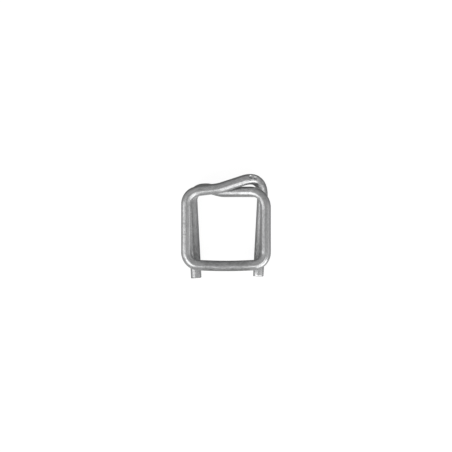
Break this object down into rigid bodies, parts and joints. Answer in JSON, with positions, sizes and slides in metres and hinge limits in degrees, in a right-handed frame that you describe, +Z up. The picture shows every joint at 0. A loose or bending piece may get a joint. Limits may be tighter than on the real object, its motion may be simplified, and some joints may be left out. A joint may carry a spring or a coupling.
{
  "type": "strapping buckle",
  "caption": "Wire strapping buckle bent from round galvanised wire: a squarish frame, two free prongs behind it for the strap loops, and a humped crossing at the open end.",
  "frame": {"origin": "on the surface that the prongs lie on, under the middle of the buckle's length and width", "axes": "+X across the two legs towards the hump's side, +Y along the legs from the closed end to the crossing, +Z up from the prongs to the frame"},
  "size_m": [0.0239, 0.0278, 0.0084],
  "materials": {
    "galvanised_wire": "zinc-coated drawn wire, semi-matte grey"
  },
  "bodies": {
    "root": {"wire_buckle": "galvanised_wire"}
  },
  "joints": []
}
